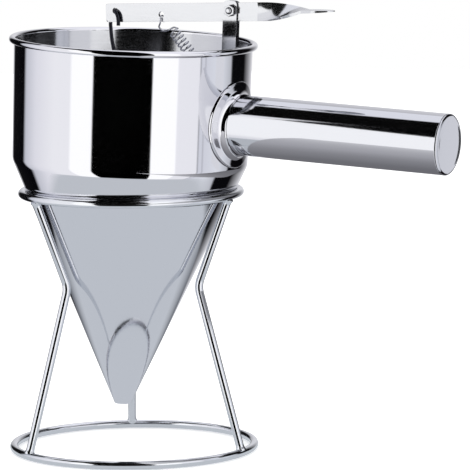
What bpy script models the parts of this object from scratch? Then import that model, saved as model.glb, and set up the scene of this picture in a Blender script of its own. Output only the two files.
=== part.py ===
# Dispensing funnel with a sprung thumb lever, standing in its wire stand.
# Metres, +Z up. The handle points along +X and the thumb lever lies above it.
# The part stands on Z = 0, with its origin under the middle of its overall length.

import math

import bmesh
import bpy
from mathutils import Matrix, Vector

# Clearances shared by pieces that meet
seat_gap = 0.0003
cut_overrun = 0.002
weld_distance = 0.0000003

# Wire stand
stand_wire = 0.0044
base_ring_radius = 0.0648
seat_ring_height = 0.1394
leg_waist_height = 0.0907
leg_cone_gap = 0.0039
leg_bend_radius = 0.012
leg_sides = ("handle_side", "rear", "front")

# Funnel body: heights are taken with its axis upright
sheet = 0.0008
bowl_radius = 0.0637
bowl_taper = 0.0007
shoulder_overhang = 0.0046
rim_height = 0.2217
rim_bead = 0.0035
rim_curl = math.radians(250)
shoulder_radius = 0.009
cone_half_angle = math.radians(24)
outlet_radius = 0.0044
seam_drop = 0.0006
funnel_lean = math.radians(2.75)

# Handle
handle_radius = 0.016
handle_sheet = 0.0008
handle_drop = 0.0408
handle_reach = 0.1855
flange_width = 0.007
flange_sheet = 0.0012
flange_edge = 0.0005
flange_fillet = 0.003
end_cap_edge = 0.0009
end_cap_dome = 0.0008
end_cap_spigot = 0.006

# Lever bracket, a channel folded from strip
bracket_sheet = 0.0008
bracket_depth = 0.0081
bracket_above_rim = 0.0246
bracket_below_rim = 0.029
bracket_corner = 0.0022
web_lever_gap = 0.0012
spring_anchor_rise = 0.0028
spring_anchor_inset = 0.0019
spring_anchor_radius = 0.001

# Pivot screw and nut
pivot_inset = 0.0048
pivot_below_top = 0.0051
screw_radius = 0.0015
screw_hole_gap = 0.00025
screw_head_radius = 0.0028
screw_head_height = 0.0018
screw_end = 0.0011
screw_chamfer = 0.0004
nut_across_flats = 0.0055
nut_height = 0.0024

# Lever, in its own frame: X runs along the strip from the pivot
lever_slope = math.radians(4.45)
lever_thickness = 0.0016
lever_height = 0.0098
lever_below_pivot = 0.0009
lever_tail = 0.0761
lever_corner = 0.0011
twist_start = 0.0205
twist_length = 0.021
tab_width = 0.0125
tab_straight = 0.007
tab_round = 0.011
rod_hole_inset = 0.0057
rod_hole_z = 0.0002
rod_hole_gap = 0.0007
spring_hole_x = -0.0425
spring_hole_z = -0.002
spring_hole_radius = 0.00165

# Valve rod and its plug
rod_wire = 0.002
rod_hook_drop = 0.0076
rod_straight_below_rim = 0.066
rod_into_plug = 0.0065
plug_lift = 0.0007
plug_seat_length = 0.0095
plug_rim = 0.0014
plug_shoulder = 0.0034
plug_neck_radius = 0.0026

# Return spring
spring_wire = 0.0009
coil_radius = 0.00285
curls = 14
points_per_curl = 9
coil_top_ahead = 0.0077
coil_top_drop = 0.0086
coil_bottom_back = 0.0096
coil_bottom_rise = 0.0085
spring_hook_drop = 0.0083
spring_tail = 0.0012
least_coil_gap = 0.0004

# Facet counts
ring_segments = 64
bowl_segments = 64
tube_segments = 40
small_segments = 20
stand_wire_sides = 8

# Worked out from the sizes above
wire_radius = stand_wire / 2
wire_flat_radius = wire_radius * math.cos(math.pi / stand_wire_sides)
rod_radius = rod_wire / 2
spring_radius = spring_wire / 2
cone_slope = math.tan(cone_half_angle)
cone_sheet = sheet / math.cos(cone_half_angle)
bowl_foot_radius = bowl_radius - bowl_taper
seat_ring_radius = bowl_foot_radius - shoulder_overhang
# The cone meets the seat ring all round, with the seat gap between them
cone_radius_at_seat = seat_ring_radius - (wire_radius + seat_gap) / math.cos(cone_half_angle)
outlet_height = seat_ring_height - (cone_radius_at_seat - outlet_radius) / cone_slope
shoulder_height = seat_ring_height + (bowl_foot_radius - cone_radius_at_seat) / cone_slope
rim_centre_height = rim_height - rim_bead / 2
wall_slope = (bowl_radius - bowl_foot_radius) / (rim_centre_height - shoulder_height)
seam_height = seat_ring_height - seam_drop
# The funnel leans about the centre of the ball that touches its cone along the seat ring
lean_centre = seat_ring_height + seat_ring_radius * cone_slope
handle_height = rim_height - handle_drop
flange_radius = handle_radius + flange_width
bracket_foot = rim_height - bracket_below_rim
bracket_top = rim_height + bracket_above_rim
bracket_slot = lever_thickness + 2 * seat_gap
bracket_width = bracket_slot + 2 * bracket_sheet
pivot_height = bracket_top - pivot_below_top
spring_anchor_height = bracket_foot + spring_anchor_rise
twist_end = twist_start + twist_length
tab_widest = twist_end + tab_straight
rod_hole_x = rod_hole_inset - lever_tail
rod_hole_radius = rod_radius + rod_hole_gap


def cone_radius(height):
    return cone_radius_at_seat + (height - seat_ring_height) * cone_slope


def wall_radius(height):
    return bowl_foot_radius + (height - shoulder_height) * wall_slope


# The legs are bent in to the cone at their waist
leg_waist_radius = cone_radius(leg_waist_height) + leg_cone_gap + wire_radius
# The bracket's web lies against the inside of the bowl's wall at its foot
web_room = wall_radius(bracket_foot) - sheet - seat_gap
web_outer_x = math.sqrt(web_room**2 - (bracket_width / 2) ** 2)
ear_edge_x = web_outer_x - bracket_depth
pivot_x = ear_edge_x + pivot_inset
spring_anchor_x = ear_edge_x + spring_anchor_inset


def steel(name, colour, roughness):
    material = bpy.data.materials.new(name)
    material.use_nodes = True
    shader = material.node_tree.nodes["Principled BSDF"]
    shader.inputs["Base Color"].default_value = (*colour, 1)
    shader.inputs["Metallic"].default_value = 1
    shader.inputs["Roughness"].default_value = roughness
    return material


def polished(name):
    return steel(name, (0.78, 0.79, 0.81), 0.08)


def brushed(name):
    return steel(name, (0.7, 0.7, 0.72), 0.3)


def place(obj, parent, location, rotation):
    bpy.context.scene.collection.objects.link(obj)
    obj.location = location
    obj.rotation_euler = rotation
    obj.parent = parent
    return obj


def empty(name, parent=None, location=(0, 0, 0), rotation=(0, 0, 0)):
    return place(bpy.data.objects.new(name, None), parent, location, rotation)


def solid(name, bm, parent, material, location=(0, 0, 0), rotation=(0, 0, 0)):
    bmesh.ops.recalc_face_normals(bm, faces=bm.faces)
    mesh = bpy.data.meshes.new(name)
    bm.to_mesh(mesh)
    bm.free()
    mesh.shade_smooth()
    mesh.set_sharp_from_angle(angle=math.radians(35))
    if material:
        mesh.materials.append(material)
    return place(bpy.data.objects.new(name, mesh), parent, location, rotation)


def cut(obj, name, bm, location=(0, 0, 0), rotation=(0, 0, 0)):
    cutter = solid(name, bm, obj.parent, None, location, rotation)
    cutter.hide_render = True
    cutter.display_type = "WIRE"
    modifier = obj.modifiers.new(name, "BOOLEAN")
    modifier.operation = "DIFFERENCE"
    modifier.solver = "EXACT"
    modifier.object = cutter


def wire(name, points, radius, resolution, parent, material):
    curve = bpy.data.curves.new(name, "CURVE")
    curve.dimensions = "3D"
    curve.bevel_depth = radius
    curve.bevel_resolution = resolution
    curve.use_fill_caps = True
    spline = curve.splines.new("POLY")
    spline.points.add(len(points) - 1)
    for point, position in zip(spline.points, points):
        point.co = (*position, 1)
    curve.materials.append(material)
    return place(bpy.data.objects.new(name, curve), parent, (0, 0, 0), (0, 0, 0))


# A profile of (radius, height) points turned about Z, closed on itself unless it ends on the axis
def turned(profile, segments):
    bm = bmesh.new()
    verts = [bm.verts.new((radius, 0, height)) for radius, height in profile]
    edges = [bm.edges.new(pair) for pair in zip(verts, verts[1:])]
    if profile[0][0] > 0:
        edges.append(bm.edges.new((verts[-1], verts[0])))
    bmesh.ops.spin(
        bm, geom=verts + edges, axis=(0, 0, 1), angle=2 * math.pi, steps=segments, use_merge=True
    )
    bmesh.ops.remove_doubles(bm, verts=bm.verts, dist=weld_distance)
    return bm


# Rings of points joined one to the next, either back to the first or with a face at each end
def lofted(sections, closed=False):
    bm = bmesh.new()
    rings = [[bm.verts.new(point) for point in section] for section in sections]
    pairs = list(zip(rings, rings[1:]))
    if closed:
        pairs.append((rings[-1], rings[0]))
    for ring, following in pairs:
        for i, vert in enumerate(ring):
            j = (i + 1) % len(ring)
            bm.faces.new((vert, ring[j], following[j], following[i]))
    if not closed:
        bm.faces.new(rings[0])
        bm.faces.new(rings[-1])
    return bm


def box(low, high):
    bm = bmesh.new()
    size = [b - a for a, b in zip(low, high)]
    centre = [(a + b) / 2 for a, b in zip(low, high)]
    bmesh.ops.create_cube(bm, size=1, matrix=Matrix.Translation(centre) @ Matrix.Diagonal((*size, 1)))
    return bm


# A round bar along Y, or a hexagonal one with two corners along X
def bar(radius, length, segments=small_segments):
    bm = bmesh.new()
    along_y = Matrix.Rotation(math.pi / 2, 4, "X")
    bmesh.ops.create_cone(
        bm, cap_ends=True, segments=segments, radius1=radius, radius2=radius, depth=length, matrix=along_y
    )
    return bm


def arc(centre, radius, start, end, steps):
    angles = [start + (end - start) * i / steps for i in range(steps + 1)]
    return [(centre[0] + radius * math.cos(a), centre[1] + radius * math.sin(a)) for a in angles]


# Straight runs joined by arcs of one radius
def filleted_route(points, radius, steps):
    route = [points[0]]
    for before, corner, after in zip(points, points[1:], points[2:]):
        back = (before - corner).normalized()
        ahead = (after - corner).normalized()
        half = back.angle(ahead) / 2
        centre = corner + (back + ahead).normalized() * radius / math.sin(half)
        start = corner + back * radius / math.tan(half) - centre
        end = corner + ahead * radius / math.tan(half) - centre
        turn = start.angle(end)
        hinge = start.cross(end)
        route += [centre + Matrix.Rotation(turn * i / steps, 3, hinge) @ start for i in range(steps + 1)]
    return [*route, points[-1]]


# A Catmull-Rom curve through the points
def smooth_route(points, steps):
    route = []
    padded = [2 * points[0] - points[1], *points, 2 * points[-1] - points[-2]]
    for before, a, b, after in zip(padded, padded[1:], padded[2:], padded[3:]):
        for i in range(steps):
            t = i / steps
            speed = (b - before) * t / 2
            bend = (before - a * 2.5 + b * 2 - after / 2) * t**2
            twist = (a * 3 - b * 3 + after - before) * t**3 / 2
            route.append(a + speed + bend + twist)
    return [*route, points[-1]]


# Where a point given along and above the lever's strip lies in the funnel's frame
def on_lever(along, above):
    x = pivot_x + along * math.cos(lever_slope) - above * math.sin(lever_slope)
    z = pivot_height + along * math.sin(lever_slope) + above * math.cos(lever_slope)
    return Vector((x, 0, z))


# Stand: two wire rings and three cranked legs, butt welded
def build_stand(parent):
    half_side = math.pi / stand_wire_sides
    rings = (
        ("stand_base_ring", base_ring_radius, wire_flat_radius),
        ("stand_seat_ring", seat_ring_radius, seat_ring_height),
    )
    for name, radius, height in rings:
        section = arc((radius, height), wire_radius, half_side, half_side + 2 * math.pi, stand_wire_sides)
        solid(name, turned(section[:-1], ring_segments), parent, polished(name))

    route = filleted_route(
        [
            Vector((base_ring_radius, 0, 2 * wire_flat_radius + seat_gap)),
            Vector((leg_waist_radius, 0, leg_waist_height)),
            Vector((seat_ring_radius, 0, seat_ring_height - wire_radius - seat_gap)),
        ],
        leg_bend_radius,
        6,
    )
    for i, side in enumerate(leg_sides):
        name = "stand_leg_" + side
        leg = wire(name, route, wire_radius, 2, parent, polished(name))
        leg.rotation_euler.z = 2 * math.pi * i / len(leg_sides)


# Funnel body: a spun bowl with a rolled rim, and a rolled cone welded to its shoulder at the seat ring
def build_body(parent):
    wall = bowl_radius - sheet / 2
    curl_radius = (rim_bead - sheet) / 2
    curl_centre = (wall + curl_radius, rim_centre_height)
    curl_end = math.pi - rim_curl
    # The shoulder's arc runs from square to the cone's outside to square to the wall's
    lean = math.atan(wall_slope)
    reach = shoulder_radius * math.tan((cone_half_angle - lean) / 2)
    corner = (
        bowl_foot_radius + reach * math.sin(lean) - shoulder_radius * math.cos(lean),
        shoulder_height + reach * math.cos(lean) + shoulder_radius * math.sin(lean),
    )
    bowl_end = seam_height + seat_gap / 2
    bowl = [
        (cone_radius(bowl_end), bowl_end),
        *arc(corner, shoulder_radius, -cone_half_angle, -lean, 4),
        *arc(curl_centre, curl_radius - sheet / 2, math.pi, curl_end, 7),
        *arc(curl_centre, curl_radius + sheet / 2, curl_end, math.pi, 9),
        *arc(corner, shoulder_radius - sheet, -lean, -cone_half_angle, 4),
        (cone_radius(bowl_end) - cone_sheet, bowl_end),
    ]
    solid("bowl", turned(bowl, bowl_segments), parent, polished("bowl"))

    cone_top = seam_height - seat_gap / 2
    cone = [
        (cone_radius(cone_top), cone_top),
        (outlet_radius, outlet_height),
        (outlet_radius - cone_sheet, outlet_height),
        (cone_radius(cone_top) - cone_sheet, cone_top),
    ]
    solid("cone", turned(cone, bowl_segments), parent, polished("cone"))


# Handle: a tube scribed to the bowl, a dished flange round its root and a cap pressed into its end
def build_handle(parent):
    def on_wall(radius, stand_off):
        ring = []
        for i in range(tube_segments):
            angle = 2 * math.pi * i / tube_segments
            y = radius * math.cos(angle)
            z = radius * math.sin(angle)
            x = math.sqrt(wall_radius(handle_height + z) ** 2 - y**2) + stand_off
            ring.append((x, y, z))
        return ring

    def at_reach(radius):
        return [(handle_reach, y, z) for _, y, z in on_wall(radius, 0)]

    at_height = (0, 0, handle_height)
    bore = handle_radius - handle_sheet
    tube = [on_wall(radius, seat_gap) for radius in (bore, handle_radius)]
    tube += [at_reach(radius) for radius in (handle_radius, bore)]
    solid("handle_tube", lofted(tube, closed=True), parent, polished("handle_tube"), at_height)

    root = handle_radius + seat_gap
    face = seat_gap + flange_sheet
    fillet = arc((root + flange_fillet, face + flange_fillet), flange_fillet, -math.pi / 2, -math.pi, 4)
    edge = arc((flange_radius - flange_edge, face - flange_edge), flange_edge, 0, math.pi / 2, 3)
    flange = [on_wall(r, h) for r, h in ((flange_radius, seat_gap), *edge, *fillet, (root, seat_gap))]
    solid("handle_flange", lofted(flange, closed=True), parent, polished("handle_flange"), at_height)

    spigot = bore - seat_gap
    dome_share = 0.6
    cap = [
        (0, end_cap_edge + end_cap_dome),
        (handle_radius * dome_share, end_cap_edge + end_cap_dome * dome_share),
        *arc((handle_radius - end_cap_edge, 0), end_cap_edge, math.pi / 2, 0, 3),
        (spigot, 0),
        (spigot, -end_cap_spigot),
        (spigot - handle_sheet, -end_cap_spigot),
        (spigot - handle_sheet, 0),
        (0, 0),
    ]
    at_end = (handle_reach + seat_gap, 0, handle_height)
    along_x = (0, math.pi / 2, 0)
    solid("handle_end_cap", turned(cap, tube_segments), parent, polished("handle_end_cap"), at_end, along_x)


# Bracket: a narrow channel up the bowl's inner wall, whose two ears carry the pivot
def build_bracket(parent):
    low = bracket_foot
    high = bracket_top
    half_width = bracket_width / 2
    half_slot = bracket_slot / 2
    outline = [
        (ear_edge_x, low),
        (web_outer_x, low),
        *arc((web_outer_x - bracket_corner, high - bracket_corner), bracket_corner, 0, math.pi / 2, 4),
        *arc((ear_edge_x + bracket_corner, high - bracket_corner), bracket_corner, math.pi / 2, math.pi, 4),
    ]
    block = lofted([[(x, y, z) for x, z in outline] for y in (-half_width, half_width)])
    bracket = solid("lever_bracket", block, parent, brushed("lever_bracket"))
    web_inner_x = web_outer_x - bracket_sheet
    web_top = pivot_height - lever_below_pivot - lever_height / 2 - web_lever_gap
    over = high + cut_overrun
    slot = box(
        (ear_edge_x - cut_overrun, -half_slot, low - cut_overrun),
        (web_inner_x, half_slot, over),
    )
    cut(bracket, "bracket_slot_cutter", slot)
    notch = box(
        (web_inner_x - cut_overrun, -half_slot, web_top),
        (web_outer_x + cut_overrun, half_slot, over),
    )
    cut(bracket, "bracket_notch_cutter", notch)
    through = bracket_width + 2 * cut_overrun
    at_anchor = (spring_anchor_x, 0, spring_anchor_height)
    cut(bracket, "anchor_drill", bar(spring_anchor_radius, through), at_anchor)
    at_pivot = (pivot_x, 0, pivot_height)
    cut(bracket, "bracket_pivot_drill", bar(screw_radius + screw_hole_gap, through), at_pivot)


# Pivot: a pan head screw from the far side, with its nut on the near side
def build_pivot(parent):
    at_pivot = (pivot_x, 0, pivot_height)
    head_base = bracket_width / 2 + seat_gap
    head_top = head_base + screw_head_height
    end = -(head_base + nut_height + screw_end)
    screw = [
        (0, head_top),
        (screw_head_radius - screw_chamfer, head_top),
        (screw_head_radius, head_top - screw_chamfer),
        (screw_head_radius, head_base),
        (screw_radius, head_base),
        (screw_radius, end + screw_chamfer),
        (screw_radius - screw_chamfer, end),
        (0, end),
    ]
    to_rear = (-math.pi / 2, 0, 0)
    solid("pivot_screw", turned(screw, small_segments), parent, brushed("pivot_screw"), at_pivot, to_rear)

    nut_corner = nut_across_flats / 2 / math.cos(math.pi / 6)
    at_nut = (pivot_x, -head_base - nut_height / 2, pivot_height)
    nut = solid("pivot_nut", bar(nut_corner, nut_height, 6), parent, brushed("pivot_nut"), at_nut)
    cut(nut, "nut_drill", bar(screw_radius + seat_gap, nut_height + 2 * cut_overrun), at_nut)


# Lever: a flat strip on edge, given a quarter twist into a level thumb tab with a round end
def build_lever(parent):
    pivot = empty("lever_pivot", parent, (pivot_x, 0, pivot_height), (0, -lever_slope, 0))

    # A section is a rectangle turned about the strip's length
    def section(x, height, angle):
        turn = Matrix.Rotation(-angle, 3, "X")
        half_t = lever_thickness / 2
        half_h = height / 2
        corners = ((-half_t, -half_h), (half_t, -half_h), (half_t, half_h), (-half_t, half_h))
        return [Vector((x, 0, -lever_below_pivot)) + turn @ Vector((0, y, z)) for y, z in corners]

    sections = []
    corner = (lever_tail - lever_corner, lever_height / 2 - lever_corner)
    for back, rise in arc(corner, lever_corner, 0, math.pi / 2, 3):
        sections.append(section(-back, 2 * rise, 0))
    twist_steps = 10
    for i in range(twist_steps + 1):
        share = i / twist_steps
        x = twist_start + twist_length * share
        eased = share * share * (3 - 2 * share)
        sections.append(section(x, lever_height, math.pi / 2 * eased))
    tab_steps = 9
    for i in range(tab_steps):
        angle = math.pi / 2 * i / tab_steps
        x = tab_widest + tab_round * math.sin(angle)
        sections.append(section(x, tab_width * math.cos(angle), math.pi / 2))
    lever = solid("lever", lofted(sections), pivot, brushed("lever"))
    through = lever_thickness + 2 * cut_overrun
    cut(lever, "rod_drill", bar(rod_hole_radius, through), (rod_hole_x, 0, rod_hole_z))
    cut(lever, "spring_drill", bar(spring_hole_radius, through), (spring_hole_x, 0, spring_hole_z))
    cut(lever, "lever_pivot_drill", bar(screw_radius + screw_hole_gap, through))


# Valve: a wire rod hooked through the lever, bent in to the axis, with a turned plug on its end
def build_valve(parent):
    plug_base = outlet_height + plug_lift
    seat_top = plug_base + plug_seat_length
    rim_top = seat_top + plug_rim
    plug_top = rim_top + plug_shoulder
    seated = cone_sheet + seat_gap / math.cos(cone_half_angle)
    bore = rod_radius + seat_gap
    bore_end = plug_top - rod_into_plug - seat_gap
    plug = [
        (0, plug_base),
        (cone_radius(plug_base) - seated, plug_base),
        (cone_radius(seat_top) - seated, seat_top),
        (cone_radius(seat_top) - seated, rim_top),
        (plug_neck_radius, plug_top),
        (bore, plug_top),
        (bore, bore_end),
        (0, bore_end),
    ]
    solid("valve_plug", turned(plug, tube_segments), parent, brushed("valve_plug"))

    # The hook lies against both faces of the strip and hangs from the top of its hole
    hole = on_lever(rod_hole_x, rod_hole_z)
    side = lever_thickness / 2 + rod_radius + 2 * seat_gap
    crown = rod_hole_gap - seat_gap
    drop = rod_hook_drop
    hook_shares = (
        (0.4, -1, -1),
        (0.38, -1, -0.64),
        (0.3, -1, -0.3),
        (0.16, -0.93, -0.08),
        (0.05, -0.6, 0.02),
    )
    back_shares = (
        (-0.05, 0.6, 0.02),
        (-0.2, 0.95, -0.1),
        (-0.43, 1, -0.4),
        (-0.58, 1, -0.86),
        (-0.53, 0.96, -1.4),
        (-0.4, 0.75, -2.05),
        (-0.12, 0.4, -2.9),
    )
    points = [hole + Vector((x * drop, y * side, z * drop)) for x, y, z in hook_shares]
    points.append(hole + Vector((0, 0, crown)))
    points += [hole + Vector((x * drop, y * side, z * drop)) for x, y, z in back_shares]
    last = points[-1]
    straight = rim_height - rod_straight_below_rim
    ease_shares = ((0.5, 0.36), (0.14, 0.75))
    points += [Vector((last.x * s, last.y * s, last.z + (straight - last.z) * d)) for s, d in ease_shares]
    points.append(Vector((0, 0, straight)))
    points.append(Vector((0, 0, straight - drop)))
    route = smooth_route(points, 4)
    route.append(Vector((0, 0, bore_end + seat_gap)))
    wire("valve_rod", route, rod_radius, 2, parent, polished("valve_rod"))


# Return spring: from the hole in the lever, through a coil, to the foot of the bracket
def build_spring(parent):
    hole = on_lever(spring_hole_x, spring_hole_z)
    anchor = Vector((spring_anchor_x, 0, spring_anchor_height))
    top = hole + Vector((coil_top_ahead, 0, -coil_top_drop))
    bottom = anchor + Vector((-coil_bottom_back, 0, coil_bottom_rise))
    along = (bottom - top).normalized()
    outward = Vector((-along.z, 0, along.x))
    front = Vector((0, -1, 0))

    coil = []
    steps = curls * points_per_curl
    for i in range(steps + 1):
        angle = 2 * math.pi * i / points_per_curl
        centre = top + (bottom - top) * i / steps
        coil.append(centre + coil_radius * (outward * math.cos(angle) + front * math.sin(angle)))

    # The top hook hangs on the lower edge of the hole, then the wire swings in to the coil
    side = lever_thickness / 2 + spring_radius + 2 * seat_gap
    drop = spring_hook_drop
    hook_shares = (
        (0.03, 1, -0.5),
        (0.02, 1, -0.36),
        (0.01, 0.88, -0.17),
        (0, 0.5, -0.085),
        (0, 0, -0.065),
        (0, -0.5, -0.085),
        (0.01, -0.88, -0.17),
        (0.02, -1, -0.36),
        (0, -1, -0.56),
        (-0.09, -0.75, -0.79),
        (0.04, -0.2, -0.98),
        (0.24, 0.35, -1.04),
        (0.48, 0.75, -0.94),
        (0.8, 0.75, -0.78),
    )
    hook = [hole + Vector((x * drop, y * side, z * drop)) for x, y, z in hook_shares]

    # The bottom end goes square through both ears of the bracket
    ear = bracket_width / 2
    reach = anchor - coil[-1]
    clear = ear + spring_radius + 2 * seat_gap
    tail_shares = ((0.2, 0.95), (0.5, 1.25), (0.85, 1.35), (0.99, 1.1))
    tail = [coil[-1] + reach * s + front * clear * y for s, y in tail_shares]
    tail += [anchor + front * ear / 2, anchor - front * (ear + spring_tail)]
    tail = smooth_route([coil[-1], *tail], 3)[1:]
    route = [*smooth_route([*hook, coil[0]], 3)[:-1], *coil, *tail]
    wire("return_spring", route, spring_radius, 1, parent, polished("return_spring"))

    # Its least gap to itself is taken between points well apart along the wire
    apart = 4 * spring_wire
    run = [0]
    for a, b in zip(route, route[1:]):
        run.append(run[-1] + (b - a).length)
    spots = list(zip(run, route))
    gap = min((a - b).length for i, (s, a) in enumerate(spots) for t, b in spots[i:] if t - s > apart)
    print(f"return spring: least gap to itself {gap - spring_wire:.5f} m, {least_coil_gap} m wanted")


# The origin goes under the middle of the part's length, on the surface that it stands on
def centre_on_origin(root):
    bpy.context.view_layer.update()
    graph = bpy.context.evaluated_depsgraph_get()
    reach = []
    for obj in bpy.context.scene.objects:
        if obj.type == "EMPTY" or obj.hide_render:
            continue
        evaluated = obj.evaluated_get(graph)
        mesh = evaluated.to_mesh()
        reach += [(evaluated.matrix_world @ vert.co).x for vert in mesh.vertices]
        evaluated.to_mesh_clear()
    root.location.x = -(min(reach) + max(reach)) / 2


def report_places(root, funnel):
    bpy.context.view_layer.update()
    places = {
        "stand axis": root.matrix_world.translation,
        "lever pivot": funnel.matrix_world @ Vector((pivot_x, 0, pivot_height)),
        "valve axis": funnel.matrix_world.to_3x3() @ Vector((0, 0, 1)),
        "outlet": funnel.matrix_world @ Vector((0, 0, outlet_height)),
        "rod hole": funnel.matrix_world @ on_lever(rod_hole_x, rod_hole_z),
        "foot of the stand": root.matrix_world @ Vector((base_ring_radius, 0, 0)),
    }
    for name, position in places.items():
        print(name, [round(value, 6) for value in position])


def main():
    for obj in list(bpy.data.objects):
        bpy.data.objects.remove(obj)
    root = empty("dispensing_funnel")
    build_stand(root)
    # The lean turns the funnel about the lean centre, so its cone stays on the seat ring
    offset = (-lean_centre * math.sin(funnel_lean), 0, lean_centre * (1 - math.cos(funnel_lean)))
    funnel = empty("funnel", root, offset, (0, funnel_lean, 0))
    build_body(funnel)
    build_handle(funnel)
    build_bracket(funnel)
    build_pivot(funnel)
    build_lever(funnel)
    build_valve(funnel)
    build_spring(funnel)
    centre_on_origin(root)
    report_places(root, funnel)


main()
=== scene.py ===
# Dispensing funnel in its wire stand: polished stainless steel on a white studio floor.
# Lengths are in metres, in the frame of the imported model.
import math

import bpy
from mathutils import Matrix, Vector


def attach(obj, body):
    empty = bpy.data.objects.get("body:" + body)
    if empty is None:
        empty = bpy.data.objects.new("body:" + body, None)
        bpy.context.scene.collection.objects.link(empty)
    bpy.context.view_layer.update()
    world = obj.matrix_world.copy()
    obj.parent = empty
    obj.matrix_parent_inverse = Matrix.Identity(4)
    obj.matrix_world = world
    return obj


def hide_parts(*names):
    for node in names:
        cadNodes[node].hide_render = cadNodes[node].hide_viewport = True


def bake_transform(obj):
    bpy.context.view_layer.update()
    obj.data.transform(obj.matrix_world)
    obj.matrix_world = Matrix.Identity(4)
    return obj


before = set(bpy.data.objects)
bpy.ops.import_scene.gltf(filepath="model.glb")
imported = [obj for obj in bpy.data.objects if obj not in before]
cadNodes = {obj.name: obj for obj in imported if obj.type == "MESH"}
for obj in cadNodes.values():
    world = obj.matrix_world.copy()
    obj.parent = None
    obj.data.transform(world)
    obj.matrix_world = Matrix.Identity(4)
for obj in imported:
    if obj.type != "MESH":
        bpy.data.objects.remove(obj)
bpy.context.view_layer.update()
bpy.ops.object.select_all(action="DESELECT")
scene = bpy.context.scene
scene.view_settings.view_transform = "Standard"
print("frame loaded,", len(cadNodes), "nodes")

camera = {
    "azimuth": 27.61,
    "elevation": 7.079,
    "distance": 2.14014,
    "roll": -0.54,
    "lens": 305.23,
    "aim": (0.055494, 0.115522),  # to the right of the stand's axis, and above the floor
}
stand = {
    "axisX": -0.060668,
    "wire": 0.0022,  # its radius
    "baseRing": 0.0648,
    "seatRing": 0.0584,
    "seatHeight": 0.1394,
    "waist": (0.0401, 0.0907),  # radius and height of the legs' bend
    "bend": 0.012,
    "bendSteps": 16,
    "weld": (0.0024, 0.0012, 0.0003, -0.0004, -0.0011),  # places along a leg's end
    "weldSwell": (1.3, 1.28, 1.14, 1.03, 1.0),  # the wire's thickening there, from the end inwards
}
funnel = {
    "lean": 2.75,
    "leanCentre": 0.1654,
    "sheet": 0.0008,
    "bowl": 0.0637,
    "foot": 0.063,
    "shoulderHeight": 0.155878,
    "shoulder": 0.009,
    "rimCentre": 0.21995,
    "bead": 0.0035,
    "curl": 250,
    "coneAngle": 24,
    "coneAtSeat": 0.055663,
    "seam": 0.1388,
    "outlet": 0.0044,
    "gap": 0.0003,
}
standAxis = Vector((stand["axisX"], 0, 0))
coneSlope = math.tan(math.radians(funnel["coneAngle"]))


# small tools for meshes
def editMode(piece, selectMode="EDGE"):
    bpy.ops.object.select_all(action="DESELECT")
    bpy.context.view_layer.objects.active = piece
    piece.select_set(True)
    bpy.ops.object.mode_set(mode="EDIT")
    bpy.ops.mesh.select_mode(type=selectMode)


def objectMode():
    bpy.ops.object.mode_set(mode="OBJECT")


def settle(piece, matrix):  # moves the mesh and leaves the object at the origin
    piece.data.transform(matrix @ piece.matrix_world)
    piece.matrix_world = Matrix.Identity(4)
    piece.data.update()


def leaning():  # from the upright funnel to where it stands
    pivot = Vector((0, 0, funnel["leanCentre"]))
    turn = Matrix.Rotation(math.radians(funnel["lean"]), 4, "Y")
    return Matrix.Translation(standAxis + pivot) @ turn @ Matrix.Translation(-pivot)


def arcPoints(centre, radius, start, end, steps):
    angles = [start + (end - start) * i / steps for i in range(steps + 1)]
    return [(centre[0] + radius * math.cos(a), centre[1] + radius * math.sin(a)) for a in angles]


def smooth(piece, angle=40):
    bpy.ops.object.select_all(action="DESELECT")
    bpy.context.view_layer.objects.active = piece
    piece.select_set(True)
    bpy.ops.object.shade_smooth_by_angle(angle=math.radians(angle))
    bpy.ops.object.select_all(action="DESELECT")


def flatFaces(piece):  # flat faces stay flat in the mirror, and only the soft edges turn
    bpy.context.view_layer.objects.active = piece
    keepFlat = piece.modifiers.new("keepFlat", "WEIGHTED_NORMAL")
    keepFlat.keep_sharp = True
    keepFlat.weight = 100
    bpy.ops.object.modifier_apply(modifier="keepFlat")


def outwards(piece):
    editMode(piece)
    bpy.ops.mesh.select_all(action="SELECT")
    bpy.ops.mesh.remove_doubles(threshold=0.000001)
    bpy.ops.mesh.normals_make_consistent(inside=False)
    objectMode()


def lathe(name, profile, segments=160, closed=True):
    radius, height = profile[0]
    bpy.ops.mesh.primitive_circle_add(vertices=segments, radius=radius, location=(0, 0, height))
    piece = bpy.context.object
    piece.name = piece.data.name = name
    bpy.ops.object.transform_apply(location=True)
    editMode(piece)
    bpy.ops.mesh.select_all(action="SELECT")
    steps = list(profile[1:]) + ([profile[0]] if closed else [])
    for nextRadius, nextHeight in steps:
        bpy.ops.mesh.extrude_region_move(TRANSFORM_OT_translate={"value": (0, 0, nextHeight - height)})
        ratio = nextRadius / radius
        bpy.ops.transform.resize(value=(ratio, ratio, 1), center_override=(0, 0, nextHeight))
        radius, height = nextRadius, nextHeight
    if not closed:
        bpy.ops.mesh.merge(type="CENTER")
    objectMode()
    outwards(piece)
    return piece


def wirePiece(name, points, radius, rounding=8, swell=None):
    curve = bpy.data.curves.new(name, "CURVE")
    curve.dimensions = "3D"
    curve.bevel_depth = radius
    curve.bevel_resolution = rounding
    curve.use_fill_caps = True
    spline = curve.splines.new("POLY")
    spline.points.add(len(points) - 1)
    for point, place in zip(spline.points, points):
        point.co = (*place, 1)
    if swell:
        for i, factor in enumerate(swell):
            spline.points[i].radius = spline.points[-1 - i].radius = factor
    piece = bpy.data.objects.new(name, curve)
    scene.collection.objects.link(piece)
    bpy.ops.object.select_all(action="DESELECT")
    bpy.context.view_layer.objects.active = piece
    piece.select_set(True)
    bpy.ops.object.convert(target="MESH")
    piece = bpy.context.object
    piece.name = name
    outwards(piece)
    smooth(piece)
    return piece


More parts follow.
